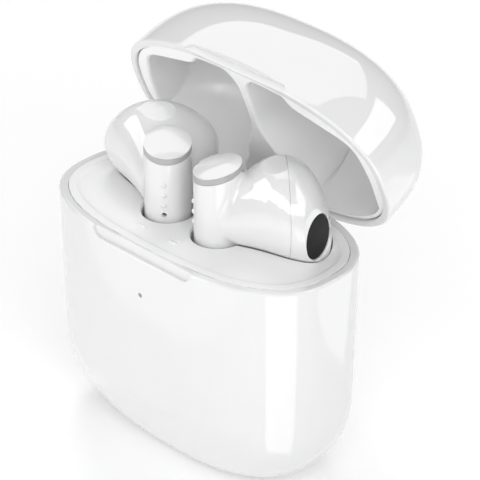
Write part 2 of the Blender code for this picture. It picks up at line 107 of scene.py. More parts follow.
def base_outline(height, inset=0.0, z=None):
    """The base's outline at a height, drawn in by an inset."""
    ends = tuck(height, END_TUCK)
    faces = tuck(height, FACE_TUCK)
    narrowing = DRAFT * (RIM - height) + inset
    curve = [top + (low - top) * ends for top, low in zip(RIM_CURVE, FOOT_CURVE)]
    half_width = HALF_WIDTH - END_TUCK[1] * ends - narrowing
    half_depth = HALF_DEPTH - FACE_TUCK[1] * faces - narrowing
    return outline(half_width, half_depth, curve, height if z is None else z)


def hinge_dip(z):
    """A rim height that drops round the hinge line, so that the lid's back edge can swing past."""
    def height(y):
        back = max(y - HINGE.y, 0.0)
        return min(z, HINGE.z + math.sqrt(HINGE_CLEAR ** 2 - min(back, HINGE_CLEAR) ** 2))
    return height


def lofted(rings, ends=True):
    """A skin through rings of equal count, closed by a flat face on each end or round to the start."""
    mesh = bmesh.new()
    rows = [[mesh.verts.new(point) for point in ring] for ring in rings]
    pairs = list(zip(rows, rows[1:])) if ends else list(zip(rows, rows[1:] + rows[:1]))
    for low, high in pairs:
        for a in range(len(low)):
            b = (a + 1) % len(low)
            mesh.faces.new((low[a], low[b], high[b], high[a]))
    if ends:
        mesh.faces.new(rows[0])
        mesh.faces.new(rows[-1])
    bmesh.ops.recalc_face_normals(mesh, faces=mesh.faces)
    return mesh


def circle(centre, radius, along, count=48):
    """Points on a circle round a direction."""
    along = along.normalized()
    side = along.orthogonal().normalized()
    other = along.cross(side)
    angles = [2 * math.pi * (step + 0.5) / count for step in range(count)]
    return [centre + radius * (math.cos(a) * side + math.sin(a) * other) for a in angles]


def turned(centre, along, profile, count=48):
    """A solid turned round an axis, from (radius, distance along) pairs."""
    along = along.normalized()
    return lofted([circle(centre + along * far, radius, along, count) for radius, far in profile])


def block(low, high):
    """A straight-sided block between two corners, for cutting."""
    mesh = bmesh.new()
    bmesh.ops.create_cube(mesh, size=1.0)
    low, high = Vector(low), Vector(high)
    for vert in mesh.verts:
        vert.co = Vector((low[n] + (vert.co[n] + 0.5) * (high[n] - low[n]) for n in range(3)))
    return mesh


def round_bar(half_length, radius, centre_z, stations, count=18):
    """A round-ended bar lying front to back, from (y, growth) pairs that let it flare."""
    rings = []
    for y, growth in stations:
        ring = []
        for end in (1, -1):
            for step in range(count + 1):
                angle = math.pi * step / count - math.pi / 2
                x = end * (half_length - radius + (radius + growth) * math.cos(angle))
                ring.append(Vector((x, y, centre_z + end * (radius + growth) * math.sin(angle))))
        rings.append(ring)
    return lofted(rings)


def moulded(name, mesh, side=RIGHT):
    """Turn a shape drawn in millimetres into a piece in metres, mirrored for the left side."""
    if side == LEFT:
        bmesh.ops.scale(mesh, vec=(-1, 1, 1), verts=mesh.verts)
        bmesh.ops.reverse_faces(mesh, faces=mesh.faces)
    bmesh.ops.scale(mesh, vec=(MM, MM, MM), verts=mesh.verts)
    data = bpy.data.meshes.new(name)
    mesh.to_mesh(data)
    mesh.free()
    data.shade_smooth()
    data.set_sharp_from_angle(angle=math.radians(CREASE))
    made = bpy.data.objects.new(name, data)
    bpy.context.scene.collection.objects.link(made)
    return made


def settle(piece):
    """Make a piece's modifiers permanent, and drop the tools that they used."""
    tools = [step.object for step in piece.modifiers if step.type == "BOOLEAN"]
    graph = bpy.context.evaluated_depsgraph_get()
    done = bpy.data.meshes.new_from_object(piece.evaluated_get(graph))
    piece.modifiers.clear()
    piece.data = done
    done.shade_smooth()
    done.set_sharp_from_angle(angle=math.radians(CREASE))
    for tool in tools:
        bpy.data.objects.remove(tool, do_unlink=True)
    return piece


def worked(piece, steps):
    """Cut, join or trim a piece with drawn shapes, given as (operation, shape, side) steps.

    The shading then follows each piece's large faces, so that slim offcuts do not show.
    """
    for operation, mesh, side in steps:
        tool = mesh if isinstance(mesh, bpy.types.Object) else moulded(f"{piece.name}_tool", mesh, side)
        step = piece.modifiers.new("work", "BOOLEAN")
        step.operation = operation
        step.solver = "MANIFOLD"
        step.object = tool
    settle(piece)
    even = piece.modifiers.new("even_shading", "WEIGHTED_NORMAL")
    even.keep_sharp = True
    graph = bpy.context.evaluated_depsgraph_get()
    piece.data = bpy.data.meshes.new_from_object(piece.evaluated_get(graph))
    piece.modifiers.clear()
    return piece


def skin_tree(data):
    """A mesh's faces, set out so that the nearest point on them is quickly found."""
    return BVHTree.FromPolygons([vert.co for vert in data.vertices],
                                [face.vertices for face in data.polygons])


# A corner counts as uncut skin within this distance of it (mm), on a face that looks the same way
# (a cosine) or that is too small (square mm) for its own direction to be trusted.
SKIN_REACH = 0.004
SAME_FACING = 0.96
SLIVER_AREA = 0.01


def shaded_like(piece, bare):
    """Shade a cut piece like the skin that it was cut from, wherever that skin is left."""
    skin = skin_tree(bare)
    data = piece.data
    wanted = [corner.vector.copy() for corner in data.corner_normals]
    for face in data.polygons:
        for corner in face.loop_indices:
            point = data.vertices[data.loops[corner].vertex_index].co
            place, facing, index, distance = skin.find_nearest(point)
            sliver = face.area < SLIVER_AREA * MM * MM
            if distance < SKIN_REACH * MM and (sliver or facing.dot(face.normal) > SAME_FACING):
                corners = [bare.vertices[vert] for vert in bare.polygons[index].vertices]
                shares = poly_3d_calc([vert.co for vert in corners], place)
                wanted[corner] = sum((vert.normal * share for vert, share in zip(corners, shares)), Vector())
    data.normals_split_custom_set([normal.normalized() for normal in wanted])


def finish(name, pale, deep, polish, patch, grain, relief, metal=0.0):
    """A moulded or plated finish: tone and polish drift over patches, with a fine raised grain (mm)."""
    made = bpy.data.materials.new(name)
    made.use_nodes = True
    nodes = made.node_tree.nodes
    join = made.node_tree.links.new
    shader = nodes["Principled BSDF"]
    place = nodes.new("ShaderNodeTexCoord").outputs["Object"]

    drift = nodes.new("ShaderNodeTexNoise")
    drift.inputs["Scale"].default_value = 1 / (patch * MM)
    drift.inputs["Detail"].default_value = 4.0
    join(place, drift.inputs["Vector"])
    tone = nodes.new("ShaderNodeMix")
    tone.data_type = "RGBA"
    tone.inputs[6].default_value = (*deep, 1.0)
    tone.inputs[7].default_value = (*pale, 1.0)
    join(drift.outputs["Fac"], tone.inputs[0])
    join(tone.outputs[2], shader.inputs["Base Color"])

    wear = nodes.new("ShaderNodeTexNoise")
    wear.inputs["Scale"].default_value = 2.3 / (patch * MM)
    wear.inputs["Detail"].default_value = 6.0
    join(place, wear.inputs["Vector"])
    shine = nodes.new("ShaderNodeMapRange")
    shine.inputs["From Min"].default_value = 0.3
    shine.inputs["From Max"].default_value = 0.7
    shine.inputs["To Min"].default_value = polish[0]
    shine.inputs["To Max"].default_value = polish[1]
    join(wear.outputs["Fac"], shine.inputs["Value"])
    join(shine.outputs["Result"], shader.inputs["Roughness"])

    peel = nodes.new("ShaderNodeTexNoise")
    peel.inputs["Scale"].default_value = 1 / (grain * MM)
    peel.inputs["Detail"].default_value = 3.0
    join(place, peel.inputs["Vector"])
    raised = nodes.new("ShaderNodeBump")
    raised.inputs["Distance"].default_value = relief * MM
    join(peel.outputs["Fac"], raised.inputs["Height"])
    join(raised.outputs["Normal"], shader.inputs["Normal"])
    shader.inputs["Metallic"].default_value = metal
    return made


def fit(piece, look, body, node):
    """Give a piece its finish, hang it on its body, and let it stand for its plain solid."""
    piece.data.materials.clear()
    piece.data.materials.append(look)
    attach(piece, body)
    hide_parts(node)
    return piece


gloss_white = finish("polished_white_plastic", (0.77, 0.77, 0.773), (0.755, 0.755, 0.759),
                     (0.045, 0.08), 9.0, 1.6, 0.0009)
polish = gloss_white.node_tree.nodes["Principled BSDF"]
polish.inputs["IOR"].default_value = 1.65
polish.inputs["Coat Weight"].default_value = 0.5
polish.inputs["Coat Roughness"].default_value = 0.03

heights = [0.0, 0.03, 0.09, 0.18, 0.3, 0.46, 0.68, 0.95, 1.3, 1.7, 2.2, 2.8, 3.5, 4.3, 5.2, 6.2,
           7.3, 8.5, 9.7, 10.8, 11.5, 12.4, 13.7, 16.0, 19.0, 22.0, 25.0, 28.0, 31.0, 33.0, 35.0]
rings = [base_outline(height) for height in heights]
for step in range(7):
    lean = math.pi / 2 * step / 6
    inset = RIM_ROUND * (1 - math.cos(lean))
    rings.append(base_outline(RIM, inset, hinge_dip(RIM - RIM_ROUND * (1 - math.sin(lean)))))
rings.append(base_outline(RIM, BASE_WALL - 0.1, hinge_dip(RIM)))
rings.append(base_outline(RIM, BASE_WALL, hinge_dip(RIM - 0.1)))
rings.append(base_outline(33.0, BASE_WALL))
for height in (22.0, 13.7, 11.5, 9.2, 7.5, 6.0, 4.8, 3.6, 2.8, 2.0):
    rings.append(base_outline(max(height - 1.3, 0.7), BASE_WALL, height))

NOTCH_DEPTHS = ((-20.0, 0.5), (-13.75, 0.5), (-13.15, 0.0), (-12.62, 0.0))
LIGHT = Vector((0, -16, 29.1))
LIGHT_RADIUS = 0.36
SOCKET_HEIGHT = 11.0
SOCKET_DEPTHS = ((9.0, 0.0), (13.2, 0.0), (13.5, 0.4), (16.0, 0.4))
BLOCK_RELIEF = ((-7.7, 9.0, 31.2), (7.7, 16.0, 40.0))

base_cup = worked(moulded("base_cup", lofted(rings)), [
    ("DIFFERENCE", round_bar(9.75, 1.5, RIM - 0.1, NOTCH_DEPTHS), RIGHT),
    ("DIFFERENCE", turned(LIGHT, Vector((0, 1, 0)), ((LIGHT_RADIUS, 0.0), (LIGHT_RADIUS, 5.0)), 32), RIGHT),
    ("DIFFERENCE", round_bar(4.8, 1.95, SOCKET_HEIGHT, SOCKET_DEPTHS), RIGHT),
    ("DIFFERENCE", block(*BLOCK_RELIEF), RIGHT),
])
fit(base_cup, gloss_white, "base", "base_shell")


# ---------------------------------------------------------------------------------------------
# Inside the base. The cell in its wrap, a foam pad, the green circuit board with its charging
# chip, and the plated charging socket with its black tongue. All sit in the cup under the tray.
def dress(look, *names):
    """Give plain solids that keep their shape their real finish."""
    for name in names:
        for part in frame["nodes"][name].material_slots:
            part.material = look


plated_steel = finish("plated_steel", (0.66, 0.66, 0.68), (0.56, 0.56, 0.58),
                      (0.2, 0.34), 1.6, 0.12, 0.002, 1.0)
gold_plate = finish("gold_plating", (0.86, 0.66, 0.30), (0.74, 0.55, 0.24),
                    (0.16, 0.3), 0.6, 0.06, 0.001, 1.0)
cell_wrap = finish("cell_wrap", (0.62, 0.63, 0.65), (0.50, 0.51, 0.54), (0.3, 0.5), 2.5, 0.5, 0.03, 0.6)
grey_foam = finish("grey_foam", (0.26, 0.26, 0.27), (0.14, 0.14, 0.15), (0.85, 1.0), 1.2, 0.25, 0.08)
green_board = finish("green_circuit_board", (0.035, 0.26, 0.12), (0.02, 0.16, 0.07),
                     (0.3, 0.5), 0.5, 0.3, 0.02)
black_plastic = finish("black_plastic", (0.028, 0.028, 0.03), (0.016, 0.016, 0.017),
                       (0.3, 0.5), 0.9, 0.08, 0.004)
light_pipe = finish("smoked_light_pipe", (0.30, 0.31, 0.31), (0.20, 0.21, 0.21), (0.15, 0.3), 0.4, 0.1, 0.002)

dress(cell_wrap, "case_battery", "earbud_battery_right", "earbud_battery_left")
dress(grey_foam, "battery_pad")
dress(green_board, "charge_board", "earbud_board_right", "earbud_board_left")
dress(black_plastic, "charge_chip", "socket_tongue")
dress(plated_steel, "charging_socket", "base_magnet_right", "base_magnet_left",
      "lid_magnet_right", "lid_magnet_left", "hinge_block", "hinge_pin", "hinge_spring",
      "lid_hinge_arm", "speaker_right", "speaker_left")
dress(light_pipe, "status_light")
for name in frame["nodes"]:
    if name.startswith(("contact_pin", "pin_sleeve", "earbud_contact")):
        dress(gold_plate, name)


# ---------------------------------------------------------------------------------------------
# Inner tray. One satin white moulding that drops into the cup: a raised lip all round, a dished
# top, and for each earbud a deep round well for the stem with a cradle for the head beside it.
TRAY_GAP = 0.06
STEM = Vector((5.0, -2.67, 0.0))
UP = Vector((0, 0, 1))
WELL_RADIUS = 3.9
WELL_WALL = 0.8
WELL_FOOT = 15.0
WELL_FLOOR = 16.2
PIN_SPACING = 2.6
PIN_HOLE_RADIUS = 1.1
SEAT_GAP = 0.17
CRADLE_WALL = 0.8
EDGE_ROUND = 0.2
HEAD_CENTRE = Vector((9.2, 1.2, RIM + 4.3))
HEAD_TURN = Euler([math.radians(angle) for angle in (-35.3, -12.7, 41.2)]).to_matrix()
HEAD_SIZE = (9.6, 6.4, 6.0)
HEAD_TAPER = 0.79
HEAD_DROOP = -0.30
HEAD_CURVE = 2.45
HEAD_ROUND_CURVE = 2.15
LID_RISE = 17.0
LID_CURVE = (2.45, 2.6)
LID_END_CURVE = 2.9
LID_FACE_CURVE = 3.1
LINING_DEPTH = 1.9
HEAD_ROOM = 0.3
HEAD_EASE = 0.9


def clear_of_lid(point):
    """Ease a point on the back of the head forwards, where the shut lid's wall would press on it."""
    share = max(point.z - RIM, 0.0) / (LID_RISE - LINING_DEPTH)
    half_width = (25.0 - LINING_DEPTH) * (1 - share ** LID_END_CURVE) ** (1 / LID_END_CURVE)
    half_depth = (HALF_DEPTH - LINING_DEPTH) * (1 - share ** LID_FACE_CURVE) ** (1 / LID_FACE_CURVE)
    across = min(abs(point.x) / half_width, 1.0)
    wall = half_depth * (1 - across ** LID_CURVE[0]) ** (1 / LID_CURVE[1])
    start = wall - HEAD_ROOM - HEAD_EASE
    if point.y > start > 0:
        point.y = start + HEAD_EASE * (1 - math.exp((start - point.y) / HEAD_EASE))
    return point


def head_egg(grow=0.0, rows=44, count=84):
    """The earbud head's egg-shaped skin, or that skin moved out by a distance."""
    length, width, height = HEAD_SIZE
    rings = []
    for row in range(1, rows):
        along = -math.cos(math.pi * row / rows)
        wide = (1 - abs(along) ** HEAD_CURVE) ** (1 / HEAD_CURVE) * (1 + HEAD_TAPER * along)
        ring = []
        for step in range(count):
            angle = 2 * math.pi * step / count
            across = width * wide * bent(math.cos(angle), 2 / HEAD_ROUND_CURVE)
            upward = height * wide * bent(math.sin(angle), 2 / HEAD_ROUND_CURVE)
            upward += HEAD_DROOP * length * along * along
            ring.append(clear_of_lid(HEAD_CENTRE + HEAD_TURN @ Vector((length * along, across, upward))))
        rings.append(ring)
    mesh = lofted(rings)
    ends = [face for face in mesh.faces if len(face.verts) > 4]
    for face, sign in zip(ends, (-1, 1)):
        tip = Vector((sign * length, 0.0, HEAD_DROOP * length))
        poked = bmesh.ops.poke(mesh, faces=[face])
        poked["verts"][0].co = HEAD_CENTRE + HEAD_TURN @ tip
    bmesh.ops.recalc_face_normals(mesh, faces=mesh.faces)
    if grow:
        mesh.normal_update()
        moved = [vert.co + vert.normal * grow for vert in mesh.verts]
        for vert, place in zip(mesh.verts, moved):
            vert.co = place
    return mesh


def below(mesh, level):
    """The part of a closed shape under a level, with its cut closed."""
    bmesh.ops.bisect_plane(mesh, geom=mesh.verts[:] + mesh.edges[:] + mesh.faces[:],
                           plane_co=(0, 0, level), plane_no=(0, 0, 1), clear_outer=True)
    bmesh.ops.contextual_create(mesh, geom=[edge for edge in mesh.edges if edge.is_boundary])
    bmesh.ops.recalc_face_normals(mesh, faces=mesh.faces)
    return mesh


def slice_of(mesh, level):
    """The outline of a rounded closed shape at a level, in order round its middle."""
    cut = bmesh.ops.bisect_plane(mesh, geom=mesh.verts[:] + mesh.edges[:] + mesh.faces[:],
                                 plane_co=(0, 0, level), plane_no=(0, 0, 1))["geom_cut"]
    points = [item.co.copy() for item in cut if isinstance(item, bmesh.types.BMVert)]
    mesh.free()
    middle = sum(points, Vector()) / len(points)
    return sorted(points, key=lambda point: math.atan2(point.y - middle.y, point.x - middle.x)), middle


def soft_mouth(points, middle, level):
    """A flared plug that rounds the edge where a pocket meets the tray's top."""
    rings = []
    for step in range(6):
        lean = math.pi / 2 * step / 5
        out = EDGE_ROUND * (1 - math.cos(lean)) + 0.02
        ring = []
        for point in points:
            away = (point - middle).normalized()
            ring.append(Vector((point.x + away.x * out, point.y + away.y * out,
                                level - EDGE_ROUND * (1 - math.sin(lean)))))
        rings.append(ring)
    rings.append([point + UP * 6.0 for point in rings[-1]])
    return lofted(rings)


MARK_REACH = 0.6
MARK_RADIUS = 0.2
MARK_PLACES = ((-4.46, -8.5), (1.84, -7.95), (1.84, -8.7))
TRAY_RELIEF = ((-7.9, 8.7, 28.0), (7.9, 16.0, 44.0))


def side_mark(x, y):
    """One small raised bar with round ends: one bar marks the left seat, and two mark the right."""
    rings = []
    for rise, draw in ((-0.4, 0.0), (0.17, 0.0), (0.23, 0.03), (0.26, 0.09)):
        ring = []
        for end in (1, -1):
            for step in range(9):
                angle = math.pi * step / 8 - math.pi / 2
                across = end * (MARK_REACH + (MARK_RADIUS - draw) * math.cos(angle))
                upward = end * (MARK_RADIUS - draw) * math.sin(angle)
                ring.append(Vector((x + across, y + upward, RIM + rise)))
        rings.append(ring)
    return lofted(rings)


snug = BASE_WALL + TRAY_GAP
skirt = RIM - 5.0
rings = [
    base_outline(RIM, snug + 8.5, RIM - 2.0),
    base_outline(RIM, snug + 1.0, RIM - 2.3),
    base_outline(RIM, snug + 1.0, skirt),
    base_outline(RIM, snug, skirt),
    base_outline(RIM, snug, hinge_dip(RIM)),
]
for inset, rise in ((0.03, 0.08), (0.1, 0.16), (0.2, 0.2), (0.75, 0.2), (0.93, 0.17), (1.05, 0.1),
                    (1.18, 0.0), (1.32, -0.09), (1.5, -0.16), (1.8, -0.18)):
    rings.append(base_outline(RIM, snug + inset, hinge_dip(RIM + rise)))
for inset, rise in ((2.6, -0.11), (3.6, 0.0), (4.6, 0.11), (5.5, 0.18), (7.0, 0.23), (8.5, 0.25)):
    rings.append(base_outline(RIM, snug + inset, RIM + rise))
tray_plate = moulded("tray_plate", lofted(rings))

well = WELL_RADIUS + WELL_WALL
under = RIM - 1.4
TRAY_TOP = RIM + 0.12
steps = []
for side in (RIGHT, LEFT):
    steps.append(("UNION", below(head_egg(SEAT_GAP + CRADLE_WALL, 26, 48), under), side))
    steps.append(("UNION", turned(STEM, UP, ((well, WELL_FOOT), (well, under + 0.03)), 64), side))
for side in (RIGHT, LEFT):
    steps.append(("DIFFERENCE", head_egg(SEAT_GAP, 40, 80), side))
    mouth, middle = slice_of(head_egg(SEAT_GAP, 40, 80), TRAY_TOP - 0.05)
    steps.append(("DIFFERENCE", soft_mouth(mouth, middle, TRAY_TOP), side))
    steps.append(("DIFFERENCE", turned(STEM, UP, ((WELL_RADIUS, WELL_FLOOR), (WELL_RADIUS, 44.0)), 96), side))
    steps.append(("DIFFERENCE", soft_mouth(circle(STEM, WELL_RADIUS, UP, 96), STEM, TRAY_TOP), side))
    for offset in (-PIN_SPACING / 2, PIN_SPACING / 2):
        hole = STEM + Vector((offset, 0, 0))
        through = ((PIN_HOLE_RADIUS, WELL_FOOT - 1), (PIN_HOLE_RADIUS, WELL_FLOOR + 1))
        steps.append(("DIFFERENCE", turned(hole, UP, through, 32), side))
steps.append(("DIFFERENCE", block(*TRAY_RELIEF), RIGHT))
for place in MARK_PLACES:
    steps.append(("UNION", side_mark(*place), RIGHT))
bare_tray = tray_plate.data
worked(tray_plate, steps)
shaded_like(tray_plate, bare_tray)
satin_white = finish("satin_white_plastic", (0.85, 0.85, 0.853), (0.84, 0.84, 0.844),
                     (0.30, 0.37), 6.0, 0.22, 0.0015)
fit(tray_plate, satin_white, "base", "inner_tray")


# ---------------------------------------------------------------------------------------------
# Lid shell. The domed top half of the case, moulded in the same glossy white as the base with a
# 1.2 mm wall. It is drawn shut on the base and then swung open about the steel hinge pin.
LID_WALL = 1.2
LID_GAP = 0.3
LID_ROUND = 0.4
SWING = (Matrix.Translation(HINGE * MM) @ Matrix.Rotation(math.radians(hinge["range_deg"][0]), 4, "X")
         @ Matrix.Translation(-HINGE * MM))


def lid_outline(height, inset=0.0, z=None):
    """The lid's outline at a height above the parting line, drawn in by an inset."""
    share = min(max(height, 0.0) / (LID_RISE - inset), 0.999999)
    half_width = (HALF_WIDTH - inset) * (1 - share ** LID_END_CURVE) ** (1 / LID_END_CURVE)
    half_depth = (HALF_DEPTH - inset) * (1 - share ** LID_FACE_CURVE) ** (1 / LID_FACE_CURVE)
    return outline(half_width, half_depth, LID_CURVE, RIM + (height if z is None else z))


def dome(start, inset, rows, top=0.985):
    """Rings of the lid's dome from a start height, closer together towards the crown."""
    rings = []
    rise = LID_RISE - inset
    first = math.acos(max(1 - (start / rise) ** LID_END_CURVE, 0.0) ** (1 / LID_END_CURVE))
    for row in range(rows):
        lean = first + (math.pi / 2 * top - first) * row / (rows - 1)
        height = rise * (1 - math.cos(lean) ** LID_END_CURVE) ** (1 / LID_END_CURVE)
        rings.append(lid_outline(height, inset))
    return rings


def opened(piece):
    """Swing a piece of the lid from shut to open."""
    piece.data.transform(SWING)
    return piece


rings = []
for step in range(7):
    lean = math.pi / 2 * step / 6
    rise = LID_GAP + LID_ROUND * (1 - math.cos(lean))
    rings.append(lid_outline(LID_GAP, LID_ROUND * (1 - math.sin(lean)), rise))
rings += [lid_outline(height) for height in (1.2, 1.8, 2.5, 3.2, 4.0, 4.8, 5.6)]
rings += dome(6.4, 0.0, 34)
inner = dome(3.0, LID_WALL, 18)
inner = [lid_outline(LID_GAP, LID_WALL - 0.1), lid_outline(LID_GAP, LID_WALL, LID_GAP + 0.1)] + inner
lid_dome = worked(moulded("lid_dome", lofted(rings[::-1] + inner)), [
    ("DIFFERENCE", round_bar(9.8, 1.3, RIM + 0.1, NOTCH_DEPTHS), RIGHT),
])
fit(opened(lid_dome), gloss_white, "lid", "lid_shell")


# ---------------------------------------------------------------------------------------------
# Lid lining. A satin white moulding pressed into the lid, with a deep room over each earbud, a
# rib between them and a relief for the hinge arm. Its mouth sits just inside the lid's rim.
MOUTH = 0.6
LINING_GAP = 0.07
LINING_WALL = 0.6
LINING_ROUND = 0.25
CORNER_REACH = 1.6
MAGNET_POCKET = ((9.95, -10.3, 37.43), (14.0, -8.95, 39.3))
ARM_RELIEF = ((-5.6, 10.3, 30.0), (5.6, 16.0, 43.0))
ROOM = (
    (0.8, -8.5), (1.6, -10.2), (3.2, -11.3), (6.2, -11.6), (8.3, -11.0), (9.6, -9.2),
    (19.0, -6.8), (20.6, -5.4), (21.7, -1.0), (21.8, 14.0), (6.3, 14.0), (6.3, 9.6),
    (4.3, 7.2), (3.6, 4.5), (0.8, -0.8),
)


def eased(points, reach, count=5):
    """A drawn outline with each corner turned into a short curve."""
    made = []
    for before, point, after in zip(points[-1:] + points[:-1], points, points[1:] + points[:1]):
        before, point, after = Vector(before), Vector(point), Vector(after)
        start = point + (before - point).normalized() * min(reach, (before - point).length * 0.45)
        end = point + (after - point).normalized() * min(reach, (after - point).length * 0.45)
        for step in range(count + 1):
            t = step / count
            made.append((1 - t) ** 2 * start + 2 * t * (1 - t) * point + t * t * end)
    return made


def spread(points, out):
    """A drawn outline moved outwards."""
    made = []
    for before, point, after in zip(points[-1:] + points[:-1], points, points[1:] + points[:1]):
        along = (after - before).normalized()
        made.append(point + Vector((along.y, -along.x)) * out)
    return made


def room_block():
    """The drawn space over the right earbud, flared a little at the lining's mouth."""
    drawn = eased(list(ROOM), CORNER_REACH)
    rings = []
    for z, out in ((-4.0, 0.5), (MOUTH - 0.02, 0.5), (MOUTH + 0.06, 0.3), (MOUTH + 0.16, 0.14),
                   (MOUTH + 0.32, 0.03), (MOUTH + 0.5, 0.0), (20.0, 0.0)):
        rings.append([Vector((x, y, RIM + z)) for x, y in spread(drawn, out)])
    return lofted(rings)


snug = LID_WALL + LINING_GAP
wall = snug + LINING_WALL
rings = []
for step in range(5):
    lean = math.pi / 2 * step / 4
    rise = MOUTH + LINING_ROUND * (1 - math.cos(lean))
    rings.append(lid_outline(MOUTH, snug + LINING_ROUND * (1 - math.sin(lean)), rise))
rings += dome(2.0, snug, 22, 0.97)
lid_lining = moulded("lid_lining", lofted(rings))
steps = []
for side in (RIGHT, LEFT):
    hollow = [lid_outline(0.0, wall, -2.0), lid_outline(0.3, wall)] + dome(2.0, wall, 22, 0.96)
    room = moulded("room", lofted(hollow))
    worked(room, [("INTERSECT", room_block(), RIGHT)])
    if side == LEFT:
        room.data.transform(Matrix.Scale(-1, 4, (1, 0, 0)))
        room.data.flip_normals()
    steps.append(("DIFFERENCE", room, side))
    steps.append(("DIFFERENCE", block(*MAGNET_POCKET), side))
steps.append(("DIFFERENCE", block(*ARM_RELIEF), RIGHT))
worked(lid_lining, steps)
# The lining's white is set lighter than the tray's and the shell's. It is painted light that stands in for
# the light reaching into the open lid.
lining_white_painted_lighter = finish("lining_white_plastic", (0.95, 0.95, 0.952), (0.94, 0.94, 0.943),
                      (0.18, 0.26), 6.0, 0.3, 0.001)
fit(opened(lid_lining), lining_white_painted_lighter, "lid", "lid_liner")


# ---------------------------------------------------------------------------------------------
# Earbud stem and rear shell, one of each hand. A glossy white tube that runs smoothly into the
# egg-shaped head, with three small touch bumps and a pinhole for the microphone on the outside.
STEM_RADIUS = 3.45
STEM_BORE = 2.75
STEM_FOOT = 18.3
CAP = Vector((STEM.x, STEM.y, RIM + 11.0))
CAP_FACING = Vector((-0.17, -0.173, 0.97))
RING_HEIGHT = 0.86
HEAD_WALL = 1.1
SEAM_FACING = Vector((0.666, 0.746, 0.0))
SEAM = Vector((16.5, -0.2, RIM + 8.0))
OUTSIDE = Vector((-0.588, -0.809, 0.0))
BAND_CLEAR = 0.04
SKIN_GRAIN = 0.22
NECK_REACH = 0.9
NECK_PASSES = 16
NECK_STRENGTH = 0.6
NECK_FULLNESS = 1.6
BUMP_RISES = (2.7, 4.3, 5.95)
BUMP_RADIUS = 0.45
PINHOLE_RISE = 1.15


def half_space(point, facing, size=30.0):
    """A large block on the side of a plane that its facing points to."""
    mesh = block((-size, -size, 0.0), (size, size, size))
    turn = facing.to_track_quat("Z", "Y").to_matrix().to_4x4()
    bmesh.ops.transform(mesh, matrix=Matrix.Translation(point) @ turn, verts=mesh.verts)
    return mesh


def blended_neck(piece):
    """Even out the skin, then melt the crease between stem and head into a smooth neck."""
    source = piece.data
    exact = skin_tree(source)
    egg = head_egg(0.0)
    bmesh.ops.scale(egg, vec=(MM, MM, MM), verts=egg.verts)
    head = BVHTree.FromBMesh(egg)
    egg.free()
    even = piece.modifiers.new("even", "REMESH")
    even.mode = "VOXEL"
    even.voxel_size = SKIN_GRAIN * MM
    settle(piece)

    skin = piece.data
    count = len(skin.vertices)
    places = np.zeros(count * 3)
    skin.vertices.foreach_get("co", places)
    places = places.reshape(-1, 3)
    ties = np.zeros(len(skin.edges) * 2, dtype=int)
    skin.edges.foreach_get("vertices", ties)
    ties = ties.reshape(-1, 2)
    sharing = np.bincount(ties.ravel(), minlength=count)[:, None]
    melt = np.zeros(count)
    for index in range(count):
        point = Vector(places[index])
        from_stem = abs((point.xy - STEM.xy * MM).length - STEM_RADIUS * MM)
        if from_stem < NECK_REACH * MM:
            nearest = head.find_nearest(point, NECK_REACH * MM)
            if nearest[0] is not None:
                melt[index] = max(0.0, 1 - (from_stem + nearest[3]) / (NECK_REACH * MM))
        if melt[index] == 0.0:
            places[index] = exact.find_nearest(point)[0]
    melt = np.minimum(melt * NECK_FULLNESS, 1.0)[:, None]
    for _ in range(NECK_PASSES):
        total = np.zeros_like(places)
        np.add.at(total, ties[:, 0], places[ties[:, 1]])
        np.add.at(total, ties[:, 1], places[ties[:, 0]])
        places += NECK_STRENGTH * melt * (total / sharing - places)
    skin.vertices.foreach_set("co", places.ravel())
    skin.update()
    return piece


def stem_ring(radius, rise, count=72):
    """A ring round the stem, parallel to the sloping cap, at a rise from the cap's seat."""
    ring = circle(Vector((STEM.x, STEM.y, 0.0)), radius, UP, count)
    for point in ring:
        slope = CAP_FACING.x * (point.x - STEM.x) + CAP_FACING.y * (point.y - STEM.y)
        point.z = CAP.z + rise - slope / CAP_FACING.z
    return ring


def mirrored(piece, name):
    """The left-hand copy of a right-hand piece."""
    data = piece.data.copy()
    data.transform(Matrix.Scale(-1, 4, (1, 0, 0)))
    data.flip_normals()
    twin = bpy.data.objects.new(name, data)
    bpy.context.scene.collection.objects.link(twin)
    return twin


def fit_pair(piece, stem_name, look, node):
    """Fit a right-hand earbud piece and its left-hand twin."""
    twin = mirrored(piece, f"{stem_name}_left")
    fit(piece, look, "earbud_right", f"{node}_right")
    fit(twin, look, "earbud_left", f"{node}_left")


levels = [STEM_FOOT - 1.0 + 2.0 * step for step in range(16)]
tube = lofted([circle(Vector((STEM.x, STEM.y, z)), STEM_RADIUS, UP, 96) for z in levels])
rear = worked(moulded("earbud_body_right", tube), [("UNION", head_egg(), RIGHT)])
blended_neck(rear)
bumps = bmesh.new()
for rise in BUMP_RISES:
    spot = Matrix.Translation(STEM + OUTSIDE * (STEM_RADIUS - 0.2) + UP * (RIM + rise))
    bmesh.ops.create_icosphere(bumps, subdivisions=3, radius=BUMP_RADIUS, matrix=spot)
bore = [circle(Vector((STEM.x, STEM.y, z)), STEM_BORE, UP, 48) for z in (STEM_FOOT - 3, CAP.z + 3)]
pinhole = STEM + UP * (RIM + PINHOLE_RISE)
worked(rear, [
    ("DIFFERENCE", half_space(CAP - UP * (RING_HEIGHT + BAND_CLEAR), CAP_FACING), RIGHT),
    ("DIFFERENCE", half_space(Vector((0, 0, STEM_FOOT)), -UP, 60.0), RIGHT),
    ("DIFFERENCE", head_egg(-HEAD_WALL, 24, 40), RIGHT),
    ("DIFFERENCE", lofted(bore), RIGHT),
    ("DIFFERENCE", half_space(SEAM, SEAM_FACING), RIGHT),
    ("UNION", bumps, RIGHT),
    ("DIFFERENCE", turned(pinhole, OUTSIDE, ((0.32, 1.5), (0.32, 3.2), (0.4, 3.4), (0.5, 5.0)), 24), RIGHT),
])
fit_pair(rear, "earbud_body", gloss_white, "stem_shell")


